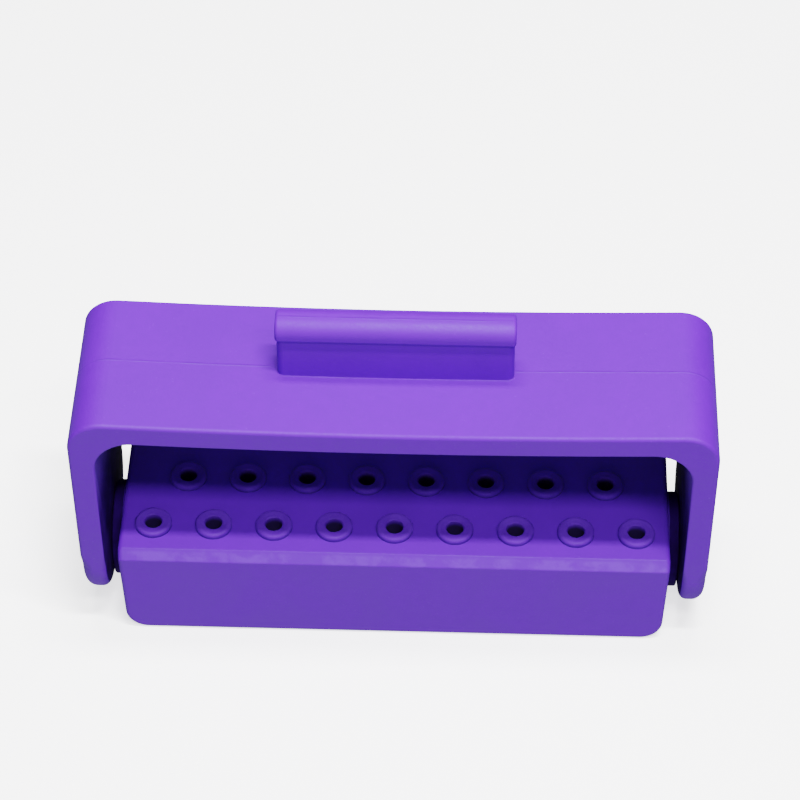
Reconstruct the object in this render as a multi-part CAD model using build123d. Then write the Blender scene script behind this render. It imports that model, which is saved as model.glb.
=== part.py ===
from build123d import *
import math
import os

# Flip-cover block that holds dental burs upright for the steriliser and the tray.
# Millimetres, +Z up.  The origin is on the bench, under the middle of the block.
# +X runs along the block, -Y is the front (the side that the nine-hole row is nearest to).

# ---------------------------------------------------------------- driving dimensions
# block
block_len_top = 72.9        # length at the top face
block_len_bottom = 72.0     # the ends are drafted, so the foot is shorter
block_depth = 22.9
block_h = 15.2
block_foot_r = 3.0          # rounded lower corners, seen from the front
block_bevel = 1.2           # bevel along the two long top edges
block_bevel_r = 0.3         # and its softened corners
block_end_r = 0.45          # softened edges of the end faces
foot_edge_r = 0.7           # softened edge all round the foot
# seats for the grommets
pitch = 8.0                 # hole pitch along a row
row_gap = 8.35              # from the front row to the back row
front_row_y = -block_depth / 2 + 5.4
front_count = 9
back_count = 8
seat_r = 2.02
seat_depth = 12.0
drain_r = 0.8               # lets steam and water out of the bottom of a seat
# grommets
collar_r = 2.45
collar_h = 0.78
plug_r = 2.0
plug_len = 11.9
bore_r = 1.15               # grips a 2.35 mm latch shank, which stops on the seat's floor
# hinge
pivot_z = block_h / 2       # middle of the block's end face
boss_r = 6.4
pin_r = 1.5
pin_in_block = 6.4
block_hole_r = 1.55         # the pins turn in the block
leg_hole_r = 1.5            # and are pressed into the legs
boss_gap = 0.12             # between the boss and the leg
# cover
cover_len = 82.6
cover_depth = 22.7
cover_top = 40.0            # height over the legs; the plate dips between them
cover_dip = 0.75            # the moulded plate is slightly dished
plate_t = 3.3
leg_t = 3.25
cover_outer_r = 4.6
cover_inner_r = 5.0
leg_foot_z = 3.5            # lowest point of a leg
leg_heel_r = 8.0            # rounded lower corners of a leg, seen from the end
leg_end_r = 1.6             # rounded outer edge of a leg's lower end
leg_end_inner_r = 1.0      # and its inner edge
leg_split_z = 11.8          # the end rounding fades out from here ...
leg_blend_z = 14.4          # ... to here
arris_r = 0.5               # softened front and back edges
inner_arris_r = 0.3
# handle ridge on the cover, a little behind the middle
grip_x = 0.05
grip_y = 0.5
grip_len = 30.2
grip_t = 3.5
grip_corner_r = 0.85
bead_len = 30.5
bead_t = 4.4
bead_top_r = 1.8
bead_under_r = 0.4
bead_end_r = 0.45
bead_low_z = 45.8
grip_top_z = 48.5
grip_root_r = 0.15

os.makedirs("parts", exist_ok=True)


def edges_where(shape, test):
    return ShapeList([e for e in shape.edges() if test(e)])


def soften(shape, edges, radii):
    """Round the edges with the first radius that works."""
    for r in radii:
        try:
            out = shape.fillet(r, edges)
            if out.is_valid and out.volume > 0:
                return out
        except Exception:
            continue
    return shape


# ---------------------------------------------------------------- block
with BuildSketch(Plane.XZ) as front_view:
    with BuildLine():
        Polyline(
            (-block_len_bottom / 2, 0),
            (block_len_bottom / 2, 0),
            (block_len_top / 2, block_h),
            (-block_len_top / 2, block_h),
            close=True,
        )
    make_face()
    fillet(front_view.vertices().sort_by(Axis.Y)[:2], block_foot_r)
block = extrude(front_view.sketch, block_depth / 2, both=True).solid()

# bevel along the long top edges, then softened corners everywhere
block = block.chamfer(
    block_bevel,
    None,
    edges_where(
        block, lambda e: abs(e.center().X) < 1.0 and e.center().Z > block_h - 0.01
    ),
)
block = soften(
    block,
    edges_where(
        block,
        lambda e: abs(e.center().X) < 1.0 and e.length > 60 and e.center().Z > block_h / 2,
    ),
    (block_bevel_r, 0.2),
)
block = soften(
    block,
    edges_where(
        block,
        lambda e: abs(abs(e.center().Y) - block_depth / 2) < 0.01 and e.center().Z < 1.4,
    ),
    (foot_edge_r, 0.5, 0.4),
)
block = soften(
    block,
    edges_where(block, lambda e: abs(e.center().X) > block_len_bottom / 2 - 0.2 and e.length > 1.0
                and e.center().Z > block_foot_r + 0.5),
    (block_end_r, 0.35, 0.25),
)

# round boss in the middle of each end, which fills the gap to the leg
leg_in_x = cover_len / 2 - leg_t
boss_face_x = leg_in_x - boss_gap
for side in (-1, 1):
    boss = Cylinder(boss_r, 6.0, rotation=(0, 90, 0)).moved(
        Location((side * (boss_face_x - 3.0), 0, pivot_z))
    )
    boss = soften(
        boss,
        edges_where(boss, lambda e: abs(e.center().X) > boss_face_x - 0.01),
        (0.25,),
    )
    block = block.fuse(boss)
block = block.clean()

# pin holes in the bosses
for side in (-1, 1):
    block = block.cut(
        Cylinder(block_hole_r, 20, rotation=(0, 90, 0)).moved(
            Location((side * (boss_face_x - pin_in_block - 0.3 + 10), 0, pivot_z))
        )
    )

# grommet seats
front_row = [((i - (front_count - 1) / 2) * pitch, front_row_y) for i in range(front_count)]
back_row = [
    ((i - (back_count - 1) / 2) * pitch, front_row_y + row_gap) for i in range(back_count)
]
for x, y in front_row + back_row:
    block = block.cut(
        Cylinder(seat_r, seat_depth, align=(Align.CENTER, Align.CENTER, Align.MAX)).moved(
            Location((x, y, block_h))
        ),
        Cylinder(drain_r, 4 * block_h).moved(Location((x, y, 0))),
    )
block = block.solid()
export_step(block, "parts/bur_block.step")

# ---------------------------------------------------------------- grommet
# A soft sleeve with a flat collar; its outer edge is rounded and the mouth is slightly dished.
with BuildSketch(Plane.XZ) as section:
    with BuildLine():
        Polyline(
            (bore_r, -plug_len),
            (plug_r - 0.35, -plug_len),
            (plug_r, -plug_len + 0.35),
            (plug_r, 0),
            (collar_r, 0),
            (collar_r, 0.38),
        )
        ThreePointArc((collar_r, 0.38), (collar_r - 0.11, 0.66), (collar_r - 0.38, collar_h))
        ThreePointArc((collar_r - 0.38, collar_h), (collar_r - 0.6, 0.77), (collar_r - 0.8, 0.72))
        Polyline(
            (collar_r - 0.8, 0.72),
            (bore_r + 0.12, 0.68),
            (bore_r, 0.56),
            (bore_r, -plug_len),
        )
    make_face()
grommet = revolve(section.sketch, Axis.Z, 360).solid()
for k, (x, y) in enumerate(front_row):
    export_step(grommet.moved(Location((x, y, block_h))), f"parts/grommet_front_{k + 1}.step")
for k, (x, y) in enumerate(back_row):
    export_step(grommet.moved(Location((x, y, block_h))), f"parts/grommet_back_{k + 1}.step")

# ---------------------------------------------------------------- pivot pins
for side, name in ((-1, "left"), (1, "right")):
    x_in = boss_face_x - pin_in_block
    x_out = cover_len / 2 - 0.12
    pin = Cylinder(pin_r, x_out - x_in, rotation=(0, 90, 0))
    pin = pin.chamfer(0.25, None, pin.edges().filter_by(GeomType.CIRCLE))
    export_step(
        pin.moved(Location((side * (x_in + x_out) / 2, 0, pivot_z))).solid(),
        f"parts/pivot_pin_{name}.step",
    )

# ---------------------------------------------------------------- cover
half = cover_len / 2


def dip(x, top):
    """Height of the dished plate at x: lowest in the middle, `top` at 37 mm out."""
    return top - cover_dip * (1 - (x / 37.0) ** 2)


plate_under = cover_top - plate_t
with BuildSketch(Plane.XZ) as outside:
    with BuildLine():
        Polyline(
            (-half, dip(half, cover_top)), (-half, 0), (half, 0), (half, dip(half, cover_top))
        )
        ThreePointArc(
            (half, dip(half, cover_top)), (0, dip(0, cover_top)), (-half, dip(half, cover_top))
        )
    make_face()
    fillet(outside.vertices().sort_by(Axis.Y)[-2:], cover_outer_r)
with BuildSketch(Plane.XZ) as inside:
    with BuildLine():
        Polyline(
            (-leg_in_x, dip(leg_in_x, plate_under)),
            (-leg_in_x, -5),
            (leg_in_x, -5),
            (leg_in_x, dip(leg_in_x, plate_under)),
        )
        ThreePointArc(
            (leg_in_x, dip(leg_in_x, plate_under)),
            (0, dip(0, plate_under)),
            (-leg_in_x, dip(leg_in_x, plate_under)),
        )
    make_face()
    fillet(inside.vertices().sort_by(Axis.Y)[-2:], cover_inner_r)
shell = extrude(outside.sketch - inside.sketch, cover_depth / 2, both=True)

# the arch above the leg ends, with softened front and back arrises
arch = (shell & Box(200, 200, 60, align=(Align.CENTER, Align.CENTER, Align.MIN)).moved(
    Location((0, 0, leg_blend_z))
)).solid()
arch = soften(
    arch,
    edges_where(
        arch,
        lambda e: abs(abs(e.center().Y) - cover_depth / 2) < 0.01
        and e.center().Z > leg_blend_z + 0.01
        and (abs(e.center().X) > leg_in_x + 0.5 or e.center().Z > plate_under + 1.0),
    ),
    (arris_r, 0.45, 0.35),
)
arch = soften(
    arch,
    edges_where(
        arch,
        lambda e: abs(abs(e.center().Y) - cover_depth / 2) < 0.01
        and e.center().Z > leg_blend_z + 0.01
        and (abs(e.center().X) < leg_in_x + 0.1 and e.center().Z < plate_under + 0.6),
    ),
    (inner_arris_r, 0.2),
)


def leg_section(z, outer_r, inner_r):
    """Outline of the right-hand leg at height z, with its own radii outside and inside."""
    with BuildSketch(Plane.XY.offset(z)) as sk:
        with Locations(((leg_in_x + half) / 2, 0)):
            Rectangle(leg_t, cover_depth)
        fillet(sk.vertices().sort_by(Axis.X)[-2:], outer_r)
        fillet(ShapeList([v for v in sk.vertices() if v.X < leg_in_x + 0.001]), inner_r)
    return sk.sketch


# each leg's lower end: rounded heels seen from the end, and well rounded edges
with BuildSketch(Plane.YZ.offset(leg_in_x)) as end_view:
    with Locations((0, leg_foot_z)):
        Rectangle(cover_depth, 40, align=(Align.CENTER, Align.MIN))
    fillet(end_view.vertices().sort_by(Axis.Y)[:2], leg_heel_r)
foot = extrude(end_view.sketch, leg_t)
foot = (foot & Box(200, 200, 40, align=(Align.CENTER, Align.CENTER, Align.MAX)).moved(
    Location((0, 0, leg_split_z))
)).solid()
foot = soften(
    foot,
    edges_where(foot, lambda e: e.center().X > half - 0.01 and e.center().Z < leg_split_z - 0.01),
    (leg_end_r, 1.5),
)
foot = soften(
    foot,
    edges_where(
        foot, lambda e: e.center().X < leg_in_x + 0.01 and e.center().Z < leg_split_z - 0.01
    ),
    (leg_end_inner_r, 0.9),
)
blend = loft(
    [
        leg_section(leg_split_z, leg_end_r, leg_end_inner_r),
        leg_section(leg_blend_z, arris_r, inner_arris_r),
    ]
)
leg_right = foot.fuse(blend).clean()
leg_left = leg_right.mirror(Plane.YZ)
print("arch", arch.volume, "foot", foot.volume, "blend", blend.volume)

# handle ridge: a straight web with a wide rounded bead along its top
web_low = cover_top - cover_dip - 1.0
web = Box(grip_len, grip_t, bead_low_z + 0.8 - web_low, align=(Align.CENTER, Align.CENTER, Align.MIN)).moved(
    Location((grip_x, grip_y, web_low))
)
web = soften(web, web.edges().filter_by(Axis.Z), (grip_corner_r, 0.7))
with BuildSketch(Plane.YZ.offset(grip_x - bead_len / 2)) as bead_end:
    with Locations((grip_y, bead_low_z)):
        Rectangle(bead_t, grip_top_z - bead_low_z, align=(Align.CENTER, Align.MIN))
    fillet(bead_end.vertices().sort_by(Axis.Y)[-2:], bead_top_r)
    fillet(bead_end.vertices().sort_by(Axis.Y)[:2], bead_under_r)
bead = extrude(bead_end.sketch, bead_len).solid()
bead = soften(
    bead,
    edges_where(bead, lambda e: abs(abs(e.center().X - grip_x) - bead_len / 2) < 0.01),
    (bead_end_r, 0.35, 0.3),
)
cover = arch.fuse(leg_right).fuse(leg_left).clean()
cover = cover.fuse(web).clean()
cover = soften(
    cover,
    edges_where(
        cover,
        lambda e: abs(e.center().X - grip_x) < grip_len / 2 + 0.2
        and abs(e.center().Y - grip_y) < grip_t / 2 + 0.2
        and cover_top - cover_dip - 0.2 < e.center().Z < cover_top - cover_dip + 0.6,
    ),
    (grip_root_r, 0.1),
)
cover = cover.fuse(bead).clean()

# tight holes for the pins
cover = cover.cut(
    Cylinder(leg_hole_r, 2 * half + 10, rotation=(0, 90, 0)).moved(Location((0, 0, pivot_z)))
)
cover = cover.solid()
export_step(cover, "parts/cover.step")
print("block", block.volume, "cover", cover.volume, "grommet", grommet.volume)
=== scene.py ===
import math

import bpy
from mathutils import Matrix, Vector

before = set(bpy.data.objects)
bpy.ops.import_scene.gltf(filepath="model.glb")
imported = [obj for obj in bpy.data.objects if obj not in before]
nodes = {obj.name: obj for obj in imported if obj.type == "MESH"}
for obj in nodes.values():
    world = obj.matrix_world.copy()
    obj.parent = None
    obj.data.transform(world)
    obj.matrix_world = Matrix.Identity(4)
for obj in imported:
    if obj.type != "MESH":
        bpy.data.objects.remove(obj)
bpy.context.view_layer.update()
scene = bpy.context.scene

# ---------------------------------------------------------------- colours (scene linear)
VIOLET = (0.057, 0.0085, 0.39)
VIOLET_COVER = (0.057, 0.0085, 0.39)
VIOLET_SOFT = (0.050, 0.0085, 0.32)


# ---------------------------------------------------------------- node helpers
class Nodes:
    """A short way to lay out a node tree."""

    def __init__(self, material):
        material.use_nodes = True
        self.tree = material.node_tree
        self.tree.nodes.clear()

    def add(self, kind, **values):
        n = self.tree.nodes.new(kind)
        for k, v in values.items():
            setattr(n, k, v)
        return n

    def link(self, a, b):
        self.tree.links.new(a, b)

    def put(self, socket, value):
        if isinstance(value, bpy.types.NodeSocket):
            self.link(value, socket)
        else:
            socket.default_value = value

    def math(self, op, a, b=0.0, c=0.0, clamp=False):
        n = self.add("ShaderNodeMath", operation=op, use_clamp=clamp)
        self.put(n.inputs[0], a)
        self.put(n.inputs[1], b)
        self.put(n.inputs[2], c)
        return n.outputs[0]

    def coords(self):
        return self.add("ShaderNodeTexCoord").outputs["Object"]

    def xyz(self, vector):
        n = self.add("ShaderNodeSeparateXYZ")
        self.link(vector, n.inputs[0])
        return n.outputs[0], n.outputs[1], n.outputs[2]

    def noise(self, vector, scale, detail=3.0, rough=0.5, distortion=0.0):
        n = self.add("ShaderNodeTexNoise")
        self.link(vector, n.inputs["Vector"])
        n.inputs["Scale"].default_value = scale
        n.inputs["Detail"].default_value = detail
        n.inputs["Roughness"].default_value = rough
        n.inputs["Distortion"].default_value = distortion
        return n.outputs["Fac"]

    def ramp(self, value, lo, hi, to_lo=0.0, to_hi=1.0, smooth=True):
        n = self.add(
            "ShaderNodeMapRange", interpolation_type="SMOOTHSTEP" if smooth else "LINEAR"
        )
        self.put(n.inputs["Value"], value)
        n.inputs["From Min"].default_value = lo
        n.inputs["From Max"].default_value = hi
        n.inputs["To Min"].default_value = to_lo
        n.inputs["To Max"].default_value = to_hi
        return n.outputs[0]

    def mix(self, factor, a, b):
        n = self.add("ShaderNodeMix", data_type="RGBA")
        self.put(n.inputs["Factor"], factor)
        for socket, colour in ((n.inputs[6], a), (n.inputs[7], b)):
            if isinstance(colour, bpy.types.NodeSocket):
                self.link(colour, socket)
            else:
                socket.default_value = (*colour, 1.0)
        return n.outputs[2]

    def finish(self, colour, roughness, height=None, distance=0.00001, strength=1.0, **fixed):
        bsdf = self.add("ShaderNodeBsdfPrincipled")
        out = self.add("ShaderNodeOutputMaterial")
        self.put(bsdf.inputs["Base Color"], colour)
        self.put(bsdf.inputs["Roughness"], roughness)
        for name, value in fixed.items():
            bsdf.inputs[name.replace("_", " ")].default_value = value
        if height is not None:
            bump = self.add("ShaderNodeBump")
            bump.inputs["Strength"].default_value = strength
            bump.inputs["Distance"].default_value = distance
            self.link(height, bump.inputs["Height"])
            self.link(bump.outputs[0], bsdf.inputs["Normal"])
        self.link(bsdf.outputs[0], out.inputs[0])
        return bsdf


def scaled(colour, k):
    return tuple(c * k for c in colour)


def moulded_plastic(name, colour, grain=0.00022, parting=False, gap=None, pale_bevel=False, roughness=0.68):
    """Moulded plastic: faint flow mottling, fine spark-eroded grain, small scuffs with a painted highlight on the
    block's bevel, painted shade in the gaps by the legs and, on the cover, a parting line.
    """
    mat = bpy.data.materials.new(name)
    n = Nodes(mat)
    p = n.coords()
    x, y, z = n.xyz(p)
    flow = n.noise(p, 90.0, 3.0, 0.55, 0.6)
    blotch = n.noise(p, 620.0, 3.0, 0.6, 0.4)
    fine = n.noise(p, 1.0 / grain, 3.0, 0.65)
    coarse = n.noise(p, 0.35 / grain, 2.0, 0.5)
    speck = n.noise(p, 2600.0, 1.0, 0.5)
    # colour: slow flow marks, small blotches, grain that holds a little more or less pigment, pale dust specks
    c = n.mix(n.ramp(flow, 0.35, 0.65), scaled(colour, 0.94), scaled(colour, 1.05))
    c = n.mix(n.ramp(blotch, 0.34, 0.66, 0.0, 0.5), c, scaled(colour, 0.90))
    c = n.mix(n.ramp(fine, 0.32, 0.68, 0.0, 0.42), c, tuple(v * 1.20 + 0.004 for v in colour))
    c = n.mix(n.ramp(speck, 0.72, 0.79, 0.0, 0.45), c, tuple(v * 1.25 + 0.014 for v in colour))
    height = n.math("ADD", n.math("MULTIPLY", fine, 0.9), n.math("MULTIPLY", coarse, 0.7))
    rough = n.ramp(fine, 0.3, 0.7, roughness - 0.06, roughness + 0.07)
    rough = n.math("ADD", rough, n.ramp(flow, 0.3, 0.7, -0.03, 0.03))
    if parting:
        # flash line left where the two halves of the mould met, on the outer faces only
        wander = n.math("MULTIPLY", n.math("SUBTRACT", n.noise(p, 160.0, 2.0), 0.5), 0.00025)
        off = n.math("ABSOLUTE", n.math("SUBTRACT", n.math("ADD", y, wander), 0.00035))
        line = n.ramp(off, 0.00005, 0.0002, 1.0, 0.0)
        outer = n.math(
            "MAXIMUM",
            n.ramp(z, 0.0375, 0.0385),
            n.ramp(n.math("ABSOLUTE", x), 0.0400, 0.0406),
        )
        line = n.math("MULTIPLY", line, outer)
        line = n.math("MULTIPLY", line, n.ramp(n.noise(p, 420.0, 2.0), 0.35, 0.6, 0.35, 1.0))
        height = n.math("ADD", height, n.math("MULTIPLY", line, 3.0))
        c = n.mix(n.math("MULTIPLY", line, 0.4), c, scaled(colour, 0.7))
    if pale_bevel:
        # the long bevel is paler in uneven patches along its lower corner: partly rubbed scuffs, partly a painted
        # highlight where the bevel catches the light
        bevel_noise = n.noise(p, 330.0, 4.0, 0.6, 0.3)
        band = n.math(
            "MULTIPLY", n.ramp(z, 0.01375, 0.0142), n.ramp(n.math("ABSOLUTE", y), 0.0103, 0.0107)
        )
        scuff_and_highlight = n.math("MULTIPLY", band, n.ramp(bevel_noise, 0.42, 0.62, 0.15, 0.75))
        c = n.mix(scuff_and_highlight, c, tuple(v * 1.12 + 0.020 for v in colour))
        height = n.math("ADD", height, n.math("MULTIPLY", scuff_and_highlight, 1.2))
    if gap is not None:
        # painted shade: the faces in the gaps between the block and the legs are darkened, and lose gloss, where shade
        # falls
        lo, hi, low_z, high_z = gap
        inside = n.math("ABSOLUTE", x)
        gap_shade_mask = n.math("MULTIPLY", n.ramp(inside, *lo), n.ramp(inside, *hi))
        gap_shade_mask = n.math("MULTIPLY", gap_shade_mask, n.ramp(z, low_z, high_z, 1.0, 0.0))
        gap_shade_mask = n.math("MULTIPLY", gap_shade_mask, n.ramp(n.noise(p, 260.0, 3.0, 0.6), 0.3, 0.7, 0.88, 1.0))
        c = n.mix(gap_shade_mask, c, scaled(colour, 0.10))
        rough = n.math("ADD", rough, n.math("MULTIPLY", gap_shade_mask, 0.15))
    bsdf = n.finish(c, rough, height, distance=0.000026, strength=0.6, IOR=1.5, Specular_IOR_Level=0.38)
    # painted shade in the gaps also takes away most of the gloss there
    if gap is not None:
        n.link(n.ramp(gap_shade_mask, 0.0, 1.0, 0.38, 0.03), bsdf.inputs["Specular IOR Level"])
    return mat


def soft_rubber(name, colour):
    """Silicone sleeve: duller, a little dustier, with painted shade darkening it down the bore."""
    mat = bpy.data.materials.new(name)
    n = Nodes(mat)
    p = n.coords()
    x, y, z = n.xyz(p)
    fine = n.noise(p, 5200.0, 3.0, 0.6)
    bloom = n.noise(p, 420.0, 3.0, 0.6)
    c = n.mix(n.ramp(bloom, 0.3, 0.7), scaled(colour, 0.9), tuple(v * 1.08 + 0.006 for v in colour))
    c = n.mix(n.ramp(fine, 0.35, 0.7, 0.0, 0.25), c, tuple(v * 1.2 + 0.02 for v in colour))
    # painted shade: the colour darkens down the bore, below the mouth
    c = n.mix(n.ramp(z, 0.0148, 0.01575, 1.0, 0.0), c, scaled(colour, 0.14))
    rough = n.ramp(bloom, 0.3, 0.7, 0.66, 0.8)
    n.finish(c, rough, fine, distance=0.000018, strength=0.6, IOR=1.42, Specular_IOR_Level=0.32)
    return mat


def turned_steel(name):
    """Pin with a turned end: rings about the X axis."""
    mat = bpy.data.materials.new(name)
    n = Nodes(mat)
    p = n.coords()
    x, y, z = n.xyz(p)
    zz = n.math("SUBTRACT", z, 0.0076)
    radius = n.math("SQRT", n.math("ADD", n.math("MULTIPLY", y, y), n.math("MULTIPLY", zz, zz)))
    rings = n.math("SINE", n.math("MULTIPLY", radius, 52000.0))
    fine = n.noise(p, 6000.0, 3.0, 0.6)
    c = n.mix(n.ramp(fine, 0.3, 0.7), (0.50, 0.50, 0.51), (0.63, 0.63, 0.64))
    rough = n.ramp(fine, 0.3, 0.7, 0.24, 0.36)
    height = n.math("ADD", n.math("MULTIPLY", rings, 0.5), fine)
    n.finish(c, rough, height, distance=0.000004, strength=0.6, Metallic=1.0)
    return mat


# the gap settings paint shade onto the block's ends and boss, and onto the legs' inner faces below the plate
block_mat = moulded_plastic(
    "block_plastic_finish", VIOLET, pale_bevel=True,
    gap=((0.03655, 0.0367, 0.0, 1.0), (0.0410, 0.0420, 1.0, 0.0), 0.020, 0.021),
)
cover_mat = moulded_plastic(
    "cover_plastic_finish", VIOLET_COVER, parting=True,
    gap=((0.0370, 0.0375, 0.0, 1.0), (0.03808, 0.03822, 1.0, 0.0), 0.020, 0.034),
)
rubber_mat = soft_rubber("grommet_rubber_finish", VIOLET_SOFT)
steel_mat = turned_steel("pin_steel_finish")

finishes = {"bur_block": block_mat, "cover": cover_mat}
for name, node in nodes.items():
    mat = finishes.get(name)
    if mat is None:
        mat = steel_mat if name.startswith("pivot_pin") else rubber_mat
    if not node.data.materials:
        node.data.materials.append(mat)
    for s in node.material_slots:
        s.material = mat

# ---------------------------------------------------------------- floor
# Plain pale paper.  It glows a little, so that the room looks bright behind the part,
# and it keeps a soft contact shadow.
size = 4.0
mesh = bpy.data.meshes.new("floor")
mesh.from_pydata(
    [(-size, -size, 0), (size, -size, 0), (size, size, 0), (-size, size, 0)], [], [(0, 1, 2, 3)]
)
floor = bpy.data.objects.new("floor", mesh)
scene.collection.objects.link(floor)
paper = bpy.data.materials.new("paper")
n = Nodes(paper)
bsdf = n.finish((0.82, 0.82, 0.83, 1.0), 0.9)
bsdf.inputs["Specular IOR Level"].default_value = 0.0
bsdf.inputs["Emission Color"].default_value = (0.99, 0.99, 1.0, 1.0)
bsdf.inputs["Emission Strength"].default_value = 1.42
mesh.materials.append(paper)
floor.visible_diffuse = False
floor.visible_glossy = False

# ---------------------------------------------------------------- room light
world = bpy.data.worlds.new("studio")
scene.world = world
world.use_nodes = True
tree = world.node_tree
tree.nodes.clear()


def wadd(kind, **values):
    node = tree.nodes.new(kind)
    for k, v in values.items():
        setattr(node, k, v)
    return node


def wmath(op, a, b=0.0):
    node = wadd("ShaderNodeMath", operation=op)
    for socket, value in ((node.inputs[0], a), (node.inputs[1], b)):
        if isinstance(value, bpy.types.NodeSocket):
            tree.links.new(value, socket)
        else:
            socket.default_value = value
    return node.outputs[0]


def wramp(value, lo, hi, to_lo, to_hi):
    node = wadd("ShaderNodeMapRange", interpolation_type="SMOOTHSTEP")
    tree.links.new(value, node.inputs["Value"])
    for key, v in (("From Min", lo), ("From Max", hi), ("To Min", to_lo), ("To Max", to_hi)):
        node.inputs[key].default_value = v
    return node.outputs[0]


direction = wadd("ShaderNodeTexCoord").outputs["Generated"]
split = wadd("ShaderNodeSeparateXYZ")
tree.links.new(direction, split.inputs[0])
up = split.outputs[2]
behind = split.outputs[1]
# a bright pale wall in front, pale paper below, and a dim room round about
ahead = wmath("ADD", wmath("MULTIPLY", behind, -0.996), wmath("MULTIPLY", up, -0.087))
front = wramp(ahead, 0.74, 0.915, 0.0, 1.25)
below = wmath(
    "MULTIPLY", wramp(up, -0.5, -0.12, 1.0, 0.25), wramp(behind, -0.3, 0.4, 1.15, 0.50)
)
below = wmath("MULTIPLY", below, wramp(up, -0.04, 0.04, 1.0, 0.0))
room = wmath("MULTIPLY", wramp(up, -0.04, 0.04, 0.0, 1.0), wramp(behind, -0.2, 0.4, 0.14, 0.07))
strength = wmath("ADD", wmath("ADD", below, room), front)
back = wadd("ShaderNodeBackground")
back.inputs["Color"].default_value = (1.0, 1.0, 1.0, 1.0)
tree.links.new(strength, back.inputs["Strength"])
out = wadd("ShaderNodeOutputWorld")
tree.links.new(back.outputs[0], out.inputs[0])


def lamp(name, tilt, turn, distance, width, depth, power):
    """A soft strip lamp, `tilt` degrees from straight above towards the front and `turn` degrees to the right."""
    data = bpy.data.lights.new(name, "AREA")
    data.shape = "RECTANGLE"
    data.size, data.size_y = width, depth
    data.energy = power
    data.color = (1.0, 1.0, 1.0)
    obj = bpy.data.objects.new(name, data)
    scene.collection.objects.link(obj)
    t, a = math.radians(tilt), math.radians(turn)
    target = Vector((0.0, -0.004, 0.0152))
    away = Vector((math.tan(a), -math.tan(t), 1.0)).normalized()
    obj.location = target + away * distance
    obj.rotation_mode = "QUATERNION"
    # the strip's long side stays along X
    along = (Vector((1.0, 0.0, 0.0)) - away * away.x).normalized()
    turned = Matrix((along, away.cross(along), away)).transposed()
    obj.rotation_quaternion = turned.to_quaternion()
    return obj


lamp("overhead", 10.4, 9.0, 0.5, 0.17, 0.027, 4.3)
lamp("front_overhead", 27.3, 9.0, 0.5, 0.20, 0.054, 2.1)
lamp("rear_overhead", -5.0, 0.0, 0.5, 0.20, 0.05, 2.9)

# ---------------------------------------------------------------- camera
yaw, elevation = math.radians(-1.735), math.radians(47.03)
target = Vector((0.00123, 0.01302, 0.0200))
forward = Vector(
    (
        math.sin(yaw) * math.cos(elevation),
        math.cos(yaw) * math.cos(elevation),
        -math.sin(elevation),
    )
)
right = Vector((math.cos(yaw), -math.sin(yaw), 0.0))
upward = right.cross(forward)
cam_data = bpy.data.cameras.new("camera")
cam_data.sensor_width = 36.0
cam_data.sensor_fit = "HORIZONTAL"
cam_data.lens = 2924.0 * 36.0 / 800.0
cam_data.shift_x = -8.2 / 800.0
cam_data.clip_start, cam_data.clip_end = 0.01, 20.0
camera = bpy.data.objects.new("camera", cam_data)
scene.collection.objects.link(camera)
turn = Matrix((right, upward, -forward)).transposed()
camera.matrix_world = Matrix.Translation(target - forward * 0.397) @ turn.to_4x4()
scene.camera = camera

scene.view_settings.view_transform = "Filmic"
scene.view_settings.look = "None"
scene.view_settings.exposure = 0.0
scene.view_settings.gamma = 1.0
